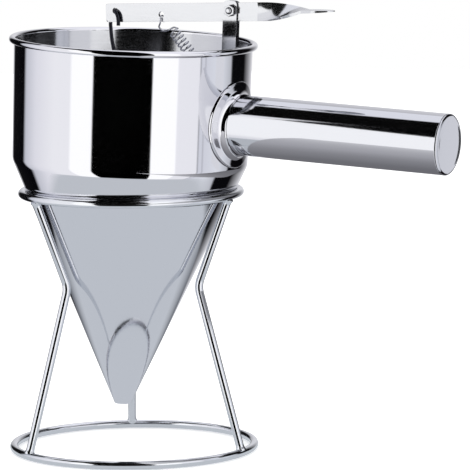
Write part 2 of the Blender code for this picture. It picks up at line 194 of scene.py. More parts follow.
def smoothRoute(points, steps):
    route = []
    padded = [2 * points[0] - points[1], *points, 2 * points[-1] - points[-2]]
    for before, a, b, after in zip(padded, padded[1:], padded[2:], padded[3:]):
        for i in range(steps):
            t = i / steps
            speed = (b - before) * t / 2
            bend = (before - a * 2.5 + b * 2 - after / 2) * t**2
            twist = (a * 3 - b * 3 + after - before) * t**3 / 2
            route.append(a + speed + bend + twist)
    return [*route, points[-1]]


def softEdges(piece, width):
    soften = piece.modifiers.new("softEdge", "BEVEL")
    soften.width = width
    soften.segments = 3
    soften.limit_method = "ANGLE"
    soften.angle_limit = math.radians(40)
    bpy.context.view_layer.objects.active = piece
    bpy.ops.object.modifier_apply(modifier="softEdge")


def cadCopy(node, name, bevel):  # a CAD node's own shape with softened edges
    source = cadNodes[node]
    piece = bpy.data.objects.new(name, source.data.copy())
    piece.data.materials.clear()
    scene.collection.objects.link(piece)
    editMode(piece)
    bpy.ops.mesh.select_all(action="SELECT")
    bpy.ops.mesh.remove_doubles(threshold=0.000001)
    if piece.data.has_custom_normals:
        bpy.ops.mesh.customdata_custom_splitnormals_clear()
    bpy.ops.mesh.dissolve_limited(angle_limit=math.radians(0.5))
    objectMode()
    softEdges(piece, bevel)
    smooth(piece, 35)
    flatFaces(piece)
    return piece


def finishPiece(piece, body, material, materialSlot, *nodes):
    piece.data.materials.clear()
    piece.data.materials.append(material)
    if body:
        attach(piece, body)
    if nodes:
        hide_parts(*nodes)
    return piece


def linear(hexColour):
    channels = [int(hexColour[i : i + 2], 16) / 255 for i in (1, 3, 5)]
    return (*[c / 12.92 if c <= 0.04045 else ((c + 0.055) / 1.055) ** 2.4 for c in channels], 1)


def addNode(tree, kind, sockets=None, **settings):
    node = tree.nodes.new(kind)
    for key, value in settings.items():
        setattr(node, key, value)
    for key, value in (sockets or {}).items():
        if isinstance(value, bpy.types.NodeSocket):
            tree.links.new(value, node.inputs[key])
        else:
            node.inputs[key].default_value = value
    return node


def steel(name, look):
    # grain: length of a polishing mark in mm along x, y and z; ripple: how far the sheet is from true;
    # lathed: how much more the marks blur across themselves, where they run round the axis
    material = bpy.data.materials.new(name)
    material.use_nodes = True
    tree = material.node_tree
    tree.nodes.clear()
    place = addNode(tree, "ShaderNodeTexCoord")
    stretch = addNode(
        tree,
        "ShaderNodeMapping",
        {"Vector": place.outputs["Object"], "Scale": [1000 / length for length in look["grain"]]},
    )
    marks = addNode(tree, "ShaderNodeTexNoise", {"Vector": stretch.outputs[0], "Scale": 1.0, "Detail": 4.0})
    rough = addNode(
        tree,
        "ShaderNodeMapRange",
        {
            "Value": marks.outputs["Fac"],
            "From Min": 0.3,
            "From Max": 0.7,
            "To Min": look["roughness"][0],
            "To Max": look["roughness"][1],
        },
    )
    swell = addNode(
        tree,
        "ShaderNodeTexNoise",
        {"Vector": place.outputs["Object"], "Scale": 1000 / look["rippleLength"], "Detail": 1.0},
    )
    ripple = addNode(
        tree,
        "ShaderNodeBump",
        {"Height": swell.outputs["Fac"], "Distance": look["ripple"], "Strength": 1.0},
    )
    scratch = addNode(
        tree,
        "ShaderNodeBump",
        {
            "Height": marks.outputs["Fac"],
            "Normal": ripple.outputs[0],
            "Distance": look["scratch"],
            "Strength": 1.0,
        },
    )
    shader = addNode(
        tree,
        "ShaderNodeBsdfPrincipled",
        {
            "Base Color": linear(look["colour"]),
            "Metallic": 1.0,
            "Roughness": rough.outputs[0],
            "Normal": scratch.outputs[0],
        },
    )
    if "lathed" in look:
        around = addNode(tree, "ShaderNodeTangent", direction_type="RADIAL", axis="Z")
        tree.links.new(around.outputs[0], shader.inputs["Tangent"])
        shader.inputs["Anisotropic"].default_value = look["lathed"]
        shader.inputs["Anisotropic Rotation"].default_value = 0.25
        lifted = addNode(
            tree,
            "ShaderNodeVectorMath",
            {0: scratch.outputs[0], 1: (0, 0, look["ridgeLift"])},
        )
        unit = addNode(tree, "ShaderNodeVectorMath", {0: lifted.outputs[0]}, operation="NORMALIZE")
        tree.links.new(unit.outputs[0], shader.inputs["Normal"])
    addNode(tree, "ShaderNodeOutputMaterial", {"Surface": shader.outputs[0]})
    return material


# stainless sheet, buffed to a mirror: sharp reflections, slightly uneven where the sheet was spun
mirrorSheet = steel(
    "buffedStainlessSheet",
    {
        "colour": "#e6e6ea",
        "grain": (6, 6, 0.4),
        "roughness": (0.03, 0.06),
        "rippleLength": 30,
        "ripple": 0.00003,
        "scratch": 0.0000005,
    },
)
# inside of the bowl: fine marks of spinning that run round it and smear reflections up and down;
# each mark's upper side faces up a little, so the wall also mirrors what is above the rim
spunInside = steel(
    "spunStainlessInside",
    {
        "colour": "#cbccd0",
        "grain": (20, 20, 0.4),
        "roughness": (0.12, 0.19),
        "rippleLength": 30,
        "ripple": 0.00001,
        "scratch": 0.000001,
        "lathed": 0.9,
        "ridgeLift": 0.27,
    },
)
# rolled cone: the same sheet with a softer polish, so its reflections are less sharp
coneSheet = steel(
    "softPolishedStainlessSheet",
    {
        "colour": "#e6e7ec",
        "grain": (5, 5, 0.5),
        "roughness": (0.05, 0.08),
        "rippleLength": 30,
        "ripple": 0.00002,
        "scratch": 0.0000006,
    },
)
# drawn tube, polished along its length
polishedTube = steel(
    "polishedStainlessTube",
    {
        "colour": "#d8d9de",
        "grain": (8, 0.5, 0.5),
        "roughness": (0.05, 0.08),
        "rippleLength": 40,
        "ripple": 0.00001,
        "scratch": 0.0000006,
    },
)
# drawn stainless wire, electropolished after welding
brightWire = steel(
    "electropolishedStainlessWire",
    {
        "colour": "#e4e6ea",
        "grain": (2, 2, 2),
        "roughness": (0.08, 0.14),
        "rippleLength": 10,
        "ripple": 0.00001,
        "scratch": 0.000001,
    },
)
# blanked strip with a fine brushed grain along its length
brushedStrip = steel(
    "brushedStainlessStrip",
    {
        "colour": "#d8d9dc",
        "grain": (9, 0.3, 0.3),
        "roughness": (0.1, 0.18),
        "rippleLength": 20,
        "ripple": 0.000005,
        "scratch": 0.0000003,
    },
)
# polished stainless rod wire with a hard shine, its colour painted almost black: painted reflection of the
# black surroundings and shade that the rod mirrors
paintedDarkWire = steel(
    "polishedStainlessWirePaintedDark",
    {
        "colour": "#34353c",
        "grain": (0.4, 0.4, 6),
        "roughness": (0.1, 0.2),
        "rippleLength": 10,
        "ripple": 0.000005,
        "scratch": 0.000001,
    },
)
# hard drawn spring wire, left as drawn
springWire = steel(
    "drawnStainlessSpringWire",
    {
        "colour": "#d9dae0",
        "grain": (1, 1, 1),
        "roughness": (0.18, 0.26),
        "rippleLength": 10,
        "ripple": 0.000005,
        "scratch": 0.000002,
    },
)
print("materials made")

# two wire rings and three cranked legs, butt welded
ringParts = (
    ("baseRing", "stand_base_ring", stand["baseRing"], stand["wire"]),
    ("seatRing", "stand_seat_ring", stand["seatRing"], stand["seatHeight"]),
)
for name, node, radius, height in ringParts:
    bpy.ops.mesh.primitive_torus_add(
        major_segments=160,
        minor_segments=24,
        major_radius=radius,
        minor_radius=stand["wire"],
        location=(stand["axisX"], 0, height),
    )
    ring = bpy.context.object
    ring.name = ring.data.name = name
    bpy.ops.object.transform_apply(location=True)
    smooth(ring, 60)
    finishPiece(ring, "stand", brightWire, "polished_steel", node)


def legRoute():  # straight runs joined by one arc, in the plane of the leg
    waistRadius, waistHeight = stand["waist"]
    low = Vector((stand["baseRing"], 0, 2 * stand["wire"]))
    bend = Vector((waistRadius, 0, waistHeight))
    high = Vector((stand["seatRing"], 0, stand["seatHeight"] - stand["wire"]))
    back = (low - bend).normalized()
    ahead = (high - bend).normalized()
    half = back.angle(ahead) / 2
    centre = bend + (back + ahead).normalized() * stand["bend"] / math.sin(half)
    start = bend + back * stand["bend"] / math.tan(half) - centre
    end = bend + ahead * stand["bend"] / math.tan(half) - centre
    turn = start.angle(end)
    hinge = start.cross(end)
    steps = stand["bendSteps"]
    curve = [centre + Matrix.Rotation(turn * i / steps, 3, hinge) @ start for i in range(steps + 1)]
    foot = [low - back * step for step in reversed(stand["weld"])]
    head = [high - ahead * step for step in stand["weld"]]
    return [*foot, *curve, *head]


legNodes = (
    ("legHandleSide", "stand_leg_handle_side"),
    ("legRear", "stand_leg_rear"),
    ("legFront", "stand_leg_front"),
)
for i, (name, node) in enumerate(legNodes):
    turn = Matrix.Translation(standAxis) @ Matrix.Rotation(2 * math.pi * i / 3, 4, "Z")
    leg = wirePiece(name, [turn @ point for point in legRoute()], stand["wire"], 8, stand["weldSwell"])
    finishPiece(leg, "stand", brightWire, "polished_steel", node)
print("stand made")


def coneRadius(height):
    return funnel["coneAtSeat"] + (height - stand["seatHeight"]) * coneSlope


def bowlProfile():
    sheet = funnel["sheet"]
    coneAngle = math.radians(funnel["coneAngle"])
    lean = math.atan((funnel["bowl"] - funnel["foot"]) / (funnel["rimCentre"] - funnel["shoulderHeight"]))
    reach = funnel["shoulder"] * math.tan((coneAngle - lean) / 2)
    corner = (
        funnel["foot"] + reach * math.sin(lean) - funnel["shoulder"] * math.cos(lean),
        funnel["shoulderHeight"] + reach * math.cos(lean) + funnel["shoulder"] * math.sin(lean),
    )
    end = funnel["seam"] + funnel["gap"] / 2
    curl = (funnel["bead"] - sheet) / 2
    curlCentre = (funnel["bowl"] - sheet / 2 + curl, funnel["rimCentre"])
    curlEnd = math.pi - math.radians(funnel["curl"])
    coneSheetWidth = sheet / math.cos(coneAngle)
    outer = arcPoints(corner, funnel["shoulder"], -coneAngle, -lean, 12)
    inner = arcPoints(corner, funnel["shoulder"] - sheet, -lean, -coneAngle, 12)
    wall = [outer[-1], (funnel["bowl"], funnel["rimCentre"])]

    def along(a, b, share):
        return (a[0] + (b[0] - a[0]) * share, a[1] + (b[1] - a[1]) * share)

    holds = (0.01, 0.04, 0.25, 0.5, 0.75, 0.96, 0.99)
    innerTop = (curlCentre[0] - curl - sheet / 2, funnel["rimCentre"])
    return [
        (coneRadius(end), end),
        along((coneRadius(end), end), outer[0], 0.1),
        along((coneRadius(end), end), outer[0], 0.9),
        *outer,
        *[along(wall[0], wall[1], share) for share in holds],
        *arcPoints(curlCentre, curl - sheet / 2, math.pi, curlEnd, 14),
        *arcPoints(curlCentre, curl + sheet / 2, curlEnd, math.pi, 24),
        *[along(innerTop, inner[0], share) for share in holds],
        *inner,
        (coneRadius(end) - coneSheetWidth, end),
    ]


bowl = lathe("bowlShell", bowlProfile(), 192)
settle(bowl, leaning())
smooth(bowl)
finishPiece(bowl, "funnel", mirrorSheet, "polished_steel", "bowl")
bowl.data.materials.append(spunInside)
toUpright = leaning().inverted()
for polygon in bowl.data.polygons:
    spot = toUpright @ polygon.center
    facing = toUpright.to_3x3() @ polygon.normal
    inwards = facing.x * spot.x + facing.y * spot.y < 0
    if inwards and spot.xy.length < funnel["bowl"] and spot.z < funnel["rimCentre"]:
        polygon.material_index = 1


def coneProfile():
    top = funnel["seam"] - funnel["gap"] / 2
    low = stand["seatHeight"] - (funnel["coneAtSeat"] - funnel["outlet"]) / coneSlope
    width = funnel["sheet"] / math.cos(math.radians(funnel["coneAngle"]))
    shares = (0, 0.01, 0.15, 0.3, 0.45, 0.6, 0.75, 0.9, 0.97, 0.99, 1)
    outer = [(coneRadius(top + (low - top) * share), top + (low - top) * share) for share in shares]
    return [*outer, *[(radius - width, height) for radius, height in reversed(outer)]]


cone = lathe("coneShell", coneProfile(), 192)
settle(cone, leaning())
smooth(cone)
finishPiece(cone, "funnel", coneSheet, "polished_steel", "cone")
print("bowl and cone made")

handle = {
    "height": 0.1809,
    "radius": 0.016,
    "sheet": 0.0008,
    "reach": 0.1855,
    "root": 0.0641,
    "flange": 0.023,
    "flangeSheet": 0.0012,
    "flangeEdge": 0.0005,
    "flangeHold": 0.0015,  # keeps its face flat beside that edge
    "fillet": 0.003,
    "capEdge": (0.0022, 0.0011),  # its rounding across and along the handle
    "capDome": 0.0006,
    "capFace": ((0.8, 0.3), (0.6, 0.62), (0.3, 0.9), (0.1, 1)),
    "capSpigot": 0.006,
}
sideways = Matrix.Translation((0, 0, handle["height"])) @ Matrix.Rotation(math.pi / 2, 4, "Y")


def wallRadius(height):
    slope = (funnel["bowl"] - funnel["foot"]) / (funnel["rimCentre"] - funnel["shoulderHeight"])
    return funnel["foot"] + (height - funnel["shoulderHeight"]) * slope


bore = handle["radius"] - handle["sheet"]
tubeLengths = (0, 0.001, 0.02, 0.04, 0.06, 0.08, 0.1, 0.1199, 0.1209, 0.1213)
tubeEnd = handle["reach"] - handle["root"]
tubeOuter = [(handle["radius"], handle["root"] + min(length, tubeEnd)) for length in tubeLengths]
tubeOuter += [(handle["radius"], handle["reach"] - 0.0001), (handle["radius"] - 0.0001, handle["reach"])]
tube = lathe("handleTube", [*tubeOuter, (bore, handle["reach"]), (bore, handle["root"])], 128)
settle(tube, leaning() @ sideways)
smooth(tube)
finishPiece(tube, "funnel", polishedTube, "polished_steel", "handle_tube")

spigot = bore - funnel["gap"]
capAcross, capAlong = handle["capEdge"]
capCurve = arcPoints((0, 0), 1, 0, math.pi / 2, 12)
capProfile = [
    (spigot - handle["sheet"], 0),
    (spigot - handle["sheet"], -handle["capSpigot"]),
    (spigot, -handle["capSpigot"]),
    (spigot, 0),
    *[(handle["radius"] + capAcross * (across - 1), capAlong * along) for across, along in capCurve],
    *[(handle["radius"] * share, capAlong + handle["capDome"] * rise) for share, rise in handle["capFace"]],
]
cap = lathe("handleEndCap", capProfile, 128, closed=False)
editMode(cap)
bpy.ops.mesh.select_all(action="DESELECT")
bpy.ops.mesh.select_non_manifold()
bpy.ops.mesh.edge_face_add()
objectMode()
outwards(cap)
settle(cap, leaning() @ sideways @ Matrix.Translation((0, 0, handle["reach"] + funnel["gap"])))
smooth(cap)
finishPiece(cap, "funnel", polishedTube, "polished_steel", "handle_end_cap")

root = handle["radius"] + funnel["gap"]
face = funnel["gap"] + handle["flangeSheet"]
edge, fillet = handle["flangeEdge"], handle["fillet"]
flangeProfile = [
    (handle["flange"], funnel["gap"]),
    *arcPoints((handle["flange"] - edge, face - edge), edge, 0, math.pi / 2, 6),
    (handle["flange"] - handle["flangeHold"], face),
    *arcPoints((root + fillet, face + fillet), fillet, -math.pi / 2, -math.pi, 12),
    (root, funnel["gap"]),
]
flange = lathe("handleFlange", flangeProfile, 128)
settle(flange, Matrix.Rotation(math.pi / 2, 4, "Y"))
for vertex in flange.data.vertices:  # dished to the bowl's wall
    wall = wallRadius(handle["height"] + vertex.co.z)
    vertex.co.x += math.sqrt(wall**2 - vertex.co.y**2)
settle(flange, leaning() @ Matrix.Translation((0, 0, handle["height"])))
smooth(flange)
finishPiece(flange, "funnel", mirrorSheet, "polished_steel", "handle_flange")
print("handle made")

bracket = cadCopy("lever_bracket", "leverBracket", 0.00015)
finishPiece(bracket, "funnel", brushedStrip, "brushed_steel", "lever_bracket")
screw = cadCopy("pivot_screw", "pivotScrew", 0.0002)
finishPiece(screw, "funnel", brushedStrip, "brushed_steel", "pivot_screw")
nut = cadCopy("pivot_nut", "pivotNut", 0.00025)
finishPiece(nut, "funnel", brushedStrip, "brushed_steel", "pivot_nut")
print("bracket and pivot made")

# along and above are taken on the lever, from the middle of its pivot
lever = {
    "pivot": (0.058973, 0.2412),
    "slope": 4.45,
    "thickness": 0.0016,
    "height": 0.0098,
    "belowPivot": 0.0009,
    "tail": 0.0761,
    "corner": 0.0011,
    "twist": (0.0147, 0.0281),
    "tabFrom": 0.0428,
    "tabStraight": 0.0057,
    "tabRound": 0.011,
    "tabWidth": 0.0125,
    "tipThickness": 0.0005,
    "thinning": 1.3,  # above 1, the tab keeps its thickness longer before it thins
    "steps": (12, 40, 6, 16),  # on the strip, in its twist, along the tab and round its tip
    "edge": 0.0002,
    "pivotHole": 0.00175,
    "rodHole": (-0.0704, 0.0002, 0.0017),
    "springHole": (-0.0425, -0.002, 0.00165),
    "drill": (48, 0.01),  # its facets and length
}


def onLever(along, above):  # a place on the lever, in the upright funnel's frame
    slope = math.radians(lever["slope"])
    x = lever["pivot"][0] + along * math.cos(slope) - above * math.sin(slope)
    z = lever["pivot"][1] + along * math.sin(slope) + above * math.cos(slope)
    return Vector((x, 0, z))


def leverBlank():  # the strip is drawn out step by step from its tail, then turned and widened
    tail, corner, half = lever["tail"], lever["corner"], lever["height"] / 2
    onStrip, inTwist, onTab, roundTip = lever["steps"]
    rounded = arcPoints((0, half - corner), corner, math.pi, math.pi / 2, 6)
    steps = [(-tail + corner + back, rise / half, 0, 1) for back, rise in rounded]
    start, length = lever["twist"]
    steps += [(-tail + (tail + start) * i / onStrip, 1, 0, 1) for i in range(1, onStrip)]
    for i in range(inTwist + 1):
        share = i / inTwist
        steps.append((start + length * share, 1, 90 * share, 1))
    widest = lever["tabWidth"] / lever["height"]
    thin = lever["tipThickness"] / lever["thickness"]
    tabLength = lever["tabStraight"] + lever["tabRound"]

    def tabStep(along, wide):
        thickness = 1 + (thin - 1) * (along / tabLength) ** lever["thinning"]
        return (lever["tabFrom"] + along, wide, 90, thickness)

    for i in range(1, onTab + 1):
        steps.append(tabStep(lever["tabStraight"] * i / onTab, 1 + (widest - 1) * i / onTab))
    for i in range(1, roundTip):
        angle = math.pi / 2 * i / roundTip
        along = lever["tabStraight"] + lever["tabRound"] * math.sin(angle)
        steps.append(tabStep(along, widest * math.cos(angle)))
    bpy.ops.mesh.primitive_grid_add(
        x_subdivisions=10,
        y_subdivisions=1,
        size=1,
        location=(steps[0][0], 0, 0),
        rotation=(0, math.pi / 2, 0),
    )
    blank = bpy.context.object
    blank.name = blank.data.name = "thumbLever"
    blank.scale = (lever["height"] * steps[0][1], lever["thickness"], 1)
    bpy.ops.object.transform_apply(location=True, rotation=True, scale=True)
    editMode(blank)
    bpy.ops.mesh.select_all(action="SELECT")
    x, wide, turned, thick = steps[0]
    for nextX, nextWide, nextTurned, nextThick in steps[1:]:
        bpy.ops.mesh.extrude_region_move(TRANSFORM_OT_translate={"value": (nextX - x, 0, 0)})
        grow, slim = nextWide / wide, nextThick / thick
        spot = (nextX, 0, 0)
        if nextTurned != turned:
            bpy.ops.transform.rotate(
                value=math.radians(nextTurned - turned),
                orient_axis="X",
                center_override=spot,
            )
        elif turned:
            bpy.ops.transform.resize(value=(1, grow, slim), center_override=spot)
        else:
            bpy.ops.transform.resize(value=(1, 1, grow), center_override=spot)
        x, wide, turned, thick = nextX, nextWide, nextTurned, nextThick
    objectMode()
    outwards(blank)
    return blank


def drill(piece, along, above, radius):
    facets, length = lever["drill"]
    bpy.ops.object.select_all(action="DESELECT")
    bpy.ops.mesh.primitive_cylinder_add(
        vertices=facets,
        radius=radius,
        depth=length,
        location=(along, 0, above),
        rotation=(math.pi / 2, 0, 0),
    )
    bit = bpy.context.object
    hole = piece.modifiers.new("hole", "BOOLEAN")
    hole.operation = "DIFFERENCE"
    hole.solver = "EXACT"
    hole.object = bit
    bpy.context.view_layer.objects.active = piece
    bpy.ops.object.modifier_apply(modifier="hole")
    bpy.data.objects.remove(bit)


thumbLever = leverBlank()
softEdges(thumbLever, lever["edge"])
editMode(thumbLever)
bpy.ops.mesh.select_all(action="SELECT")
bpy.ops.mesh.remove_doubles(threshold=lever["edge"] / 10)
objectMode()
lower = lever["belowPivot"]  # from the pivot down to the middle of the strip
for along, above, radius in ((0, 0, lever["pivotHole"]), lever["rodHole"], lever["springHole"]):
    drill(thumbLever, along, above + lower, radius)
leverFrame = leaning() @ Matrix.Translation((lever["pivot"][0], 0, lever["pivot"][1]))
leverFrame = leverFrame @ Matrix.Rotation(-math.radians(lever["slope"]), 4, "Y")
settle(thumbLever, leverFrame @ Matrix.Translation((0, 0, -lower)))
smooth(thumbLever, 30)
flatFaces(thumbLever)
finishPiece(thumbLever, "lever", brushedStrip, "brushed_steel", "lever")
print("lever made")

# the shares are of the drop along and down, and of half the strip's thickness across it
rod = {
    "radius": 0.001,
    "hole": lever["rodHole"],
    "side": 0.0024,
    "drop": 0.0076,
    "crown": 0.0004,
    "hook": ((0.4, -1, -1), (0.38, -1, -0.64), (0.3, -1, -0.3), (0.16, -0.93, -0.08), (0.05, -0.6, 0.02)),
    "back": (
        (-0.05, 0.6, 0.02),
        (-0.2, 0.95, -0.1),
        (-0.43, 1, -0.4),
        (-0.58, 1, -0.86),
        (-0.53, 0.96, -1.4),
        (-0.4, 0.75, -2.05),
        (-0.12, 0.4, -2.9),
    ),
    "ease": ((0.5, 0.36), (0.14, 0.75)),
    "straightFrom": 0.1557,
    "plug": (0.0007, 0.0095, 0.0014, 0.0034),  # its lift off the seat, then its seat, rim and shoulder
    "intoPlug": 0.0065,
}


def rodRoute(end):
    hole = onLever(*rod["hole"][:2])
    drop, side = rod["drop"], rod["side"]
    points = [hole + Vector((x * drop, y * side, z * drop)) for x, y, z in rod["hook"]]
    points.append(hole + Vector((0, 0, rod["crown"])))
    points += [hole + Vector((x * drop, y * side, z * drop)) for x, y, z in rod["back"]]
    last = points[-1]
    fall = rod["straightFrom"] - last.z
    points += [Vector((last.x * s, last.y * s, last.z + fall * d)) for s, d in rod["ease"]]
    points += [Vector((0, 0, rod["straightFrom"])), Vector((0, 0, rod["straightFrom"] - drop))]
    return [*smoothRoute(points, 6), Vector((0, 0, end))]


outletHeight = stand["seatHeight"] - (funnel["coneAtSeat"] - funnel["outlet"]) / coneSlope
plugLift, plugSeat, plugRim, plugShoulder = rod["plug"]
rodEnd = outletHeight + plugLift + plugSeat + plugRim + plugShoulder - rod["intoPlug"]
upright = leaning()
valveRod = wirePiece("valveRod", [upright @ point for point in rodRoute(rodEnd)], rod["radius"])
# the rod's near-black colour is painted reflection
finishPiece(valveRod, "valve", paintedDarkWire, "polished_steel", "valve_rod")
plug = cadCopy("valve_plug", "valvePlug", 0.0003)
finishPiece(plug, "valve", brushedStrip, "brushed_steel", "valve_plug")

spring = {
    "wire": 0.00045,  # its radius
    "coil": 0.00285,
    "curls": 14,
    "perCurl": 20,
    "topAhead": 0.0077,
    "topDrop": 0.0086,
    "bottomBack": 0.0096,
    "bottomRise": 0.0085,
    "anchor": (0.056073, 0.1955),
    "side": 0.00185,
    "drop": 0.0083,
    "tail": 0.0012,
    "ear": 0.0019,
    "earGap": 0.0006,
    "hook": (
        (0.03, 1, -0.5),
        (0.02, 1, -0.36),
        (0.01, 0.88, -0.17),
        (0, 0.5, -0.085),
        (0, 0, -0.065),
        (0, -0.5, -0.085),
        (0.01, -0.88, -0.17),
        (0.02, -1, -0.36),
        (0, -1, -0.56),
        (-0.09, -0.75, -0.79),
        (0.04, -0.2, -0.98),
        (0.24, 0.35, -1.04),
        (0.48, 0.75, -0.94),
        (0.8, 0.75, -0.78),
    ),
    "toAnchor": ((0.2, 0.95), (0.5, 1.25), (0.85, 1.35), (0.99, 1.1)),
}


def coilEnds():
    hole = onLever(*lever["springHole"][:2])
    anchor = Vector((spring["anchor"][0], 0, spring["anchor"][1]))
    top = hole + Vector((spring["topAhead"], 0, -spring["topDrop"]))
    bottom = anchor + Vector((-spring["bottomBack"], 0, spring["bottomRise"]))
    return hole, top, bottom, anchor


def springRoute():
    hole, top, bottom, anchor = coilEnds()
    along = (bottom - top).normalized()
    outward = Vector((-along.z, 0, along.x))
    front = Vector((0, -1, 0))
    steps = spring["curls"] * spring["perCurl"]
    coil = []
    for i in range(steps + 1):
        angle = 2 * math.pi * i / spring["perCurl"]
        spoke = outward * math.cos(angle) + front * math.sin(angle)
        coil.append(top + (bottom - top) * i / steps + spring["coil"] * spoke)
    drop, side, ear = spring["drop"], spring["side"], spring["ear"]
    hook = [hole + Vector((x * drop, y * side, z * drop)) for x, y, z in spring["hook"]]
    reach = anchor - coil[-1]
    clear = ear + spring["wire"] + spring["earGap"]
    tail = [coil[-1] + reach * s + front * clear * y for s, y in spring["toAnchor"]]
    tail += [anchor + front * ear / 2, anchor - front * (ear + spring["tail"])]
    tail = smoothRoute([coil[-1], *tail], 6)[1:]
    return [*smoothRoute([*hook, coil[0]], 6)[:-1], *coil, *tail]


returnSpring = wirePiece("returnSpring", [upright @ point for point in springRoute()], spring["wire"], 4)
finishPiece(returnSpring, None, springWire, "spring_steel", "return_spring")
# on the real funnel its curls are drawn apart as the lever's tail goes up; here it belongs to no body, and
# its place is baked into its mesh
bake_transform(returnSpring)
print("valve and spring made")

floor = {
    "radius": 2.5,
    "below": 0.0002,  # so that the base ring stands clear of it
    "glow": 0.35,
    "table": 0.225,  # only this much of it shows in the metal, as a grey table top
    "tableBlur": 0.01,
    "tableOffset": (-0.02, 0.035),  # to the right of the camera's line, and away from the camera
    "tableGrey": "#babec3",
    "rearShadeGrey": "#6f7278",
    "shadeDeepens": (0.05, 0.17),  # painted shade on the table top, growing from here to there behind the stand's axis
    "shade": "#ffffff",
}
studio = {
    "strength": 1.25,  # a white panel comes back from steel as white
    "around": (  # bearing in degrees to the right of the camera, and the panel's grey there
        (-180, "#c8c8cc"),
        (-166, "#a8a8ac"),
        (-160, "#101012"),
        (-128, "#050508"),
        (-123, "#bcbec6"),
        (-105, "#dadae0"),
        (-80, "#e8e8eb"),
        (-61, "#e8e8eb"),
        (-60, "#ffffff"),
        (-38, "#ffffff"),
        (-37.5, "#000000"),
        (19.7, "#000000"),
        (20.2, "#ffffff"),
        (45.5, "#ffffff"),
        (46.5, "#e6e6ea"),
        (69, "#e5e5e9"),
        (69.9, "#4c4c50"),
        (70.8, "#ccced6"),
        (75.7, "#ccced6"),
        (76.3, "#75757c"),
        (76.9, "#ccced6"),
        (96, "#d8dbe1"),
        (111, "#b4b6bc"),
        (113.5, "#08080a"),
        (138, "#08080a"),
        (168, "#ccccd0"),
        (180, "#c8c8cc"),
    ),
    "overhead": (  # the same for the ceiling, which is black from the left round to the front
        (-180, "#e4e5eb"),
        (-128, "#e4e5eb"),
        (-120, "#080808"),
        (-62, "#040404"),
        (-37.5, "#000000"),
        (19.7, "#000000"),
        (20.2, "#e8e8ee"),
        (180, "#e8e8ee"),
    ),
    "ceilingFrom": 44,  # degrees above the horizon
    "ceilingBlur": 0.01,
}
bpy.ops.mesh.primitive_circle_add(
    vertices=96,
    radius=floor["radius"],
    fill_type="NGON",
    location=(0, 0, -floor["below"]),
)
floorDisc = bpy.context.object
floorDisc.name = "studioFloor"
bpy.ops.object.transform_apply(location=True)
floorPaint = bpy.data.materials.new("whiteStudioFloor")
floorPaint.use_nodes = True
tree = floorPaint.node_tree
tree.nodes.clear()
rays = addNode(tree, "ShaderNodeLightPath")
white = addNode(tree, "ShaderNodeBsdfDiffuse", {"Color": linear(floor["shade"])})
glow = addNode(tree, "ShaderNodeEmission", {"Color": (1, 1, 1, 1), "Strength": floor["glow"]})
lit = addNode(tree, "ShaderNodeAddShader", {0: white.outputs[0], 1: glow.outputs[0]})
bearing = math.radians(camera["azimuth"])
aside, away = floor["tableOffset"]
tableCentre = standAxis + Vector((math.cos(bearing), math.sin(bearing), 0)) * aside
tableCentre += Vector((-math.sin(bearing), math.cos(bearing), 0)) * away
floorPlace = addNode(tree, "ShaderNodeTexCoord")
fromCentre = addNode(
    tree,
    "ShaderNodeVectorMath",
    {0: floorPlace.outputs["Object"], 1: tableCentre},
    operation="DISTANCE",
)
behind = addNode(
    tree,
    "ShaderNodeVectorMath",
    {0: floorPlace.outputs["Object"], 1: (-math.sin(bearing), math.cos(bearing), 0)},
    operation="DOT_PRODUCT",
)
axisBehind = -math.sin(bearing) * standAxis.x
rear = addNode(
    tree,
    "ShaderNodeMapRange",
    {
        "Value": behind.outputs["Value"],
        "From Min": axisBehind + floor["shadeDeepens"][0],
        "From Max": axisBehind + floor["shadeDeepens"][1],
    },
)
# painted shade: the table top that the metal mirrors turns darker behind the stand's axis
shading = addNode(tree, "ShaderNodeMix", {"Factor": rear.outputs[0]}, data_type="RGBA")
shading.inputs["A"].default_value = linear(floor["tableGrey"])
shading.inputs["B"].default_value = linear(floor["rearShadeGrey"])
tableTop = addNode(
    tree,
    "ShaderNodeEmission",
    {"Color": shading.outputs["Result"], "Strength": studio["strength"]},
)
beyond = addNode(tree, "ShaderNodeBsdfTransparent")
tableEdge = addNode(
    tree,
    "ShaderNodeMapRange",
    {
        "Value": fromCentre.outputs["Value"],
        "From Min": floor["table"] - floor["tableBlur"],
        "From Max": floor["table"] + floor["tableBlur"],
    },
)
mirrored = addNode(
    tree,
    "ShaderNodeMixShader",
    {0: tableEdge.outputs[0], 1: tableTop.outputs[0], 2: beyond.outputs[0]},
)
shown = addNode(
    tree,
    "ShaderNodeMixShader",
    {0: rays.outputs["Is Glossy Ray"], 1: lit.outputs[0], 2: mirrored.outputs[0]},
)
addNode(tree, "ShaderNodeOutputMaterial", {"Surface": shown.outputs[0]})
floorDisc.data.materials.append(floorPaint)


def greyRamp(tree, share, stops):
    greys = addNode(tree, "ShaderNodeValToRGB", {"Fac": share})
    ramp = greys.color_ramp
    for i, (place, grey) in enumerate(stops):
        stop = ramp.elements[i] if i < 2 else ramp.elements.new(1)
        stop.position = place
        stop.color = linear(grey)
    return greys


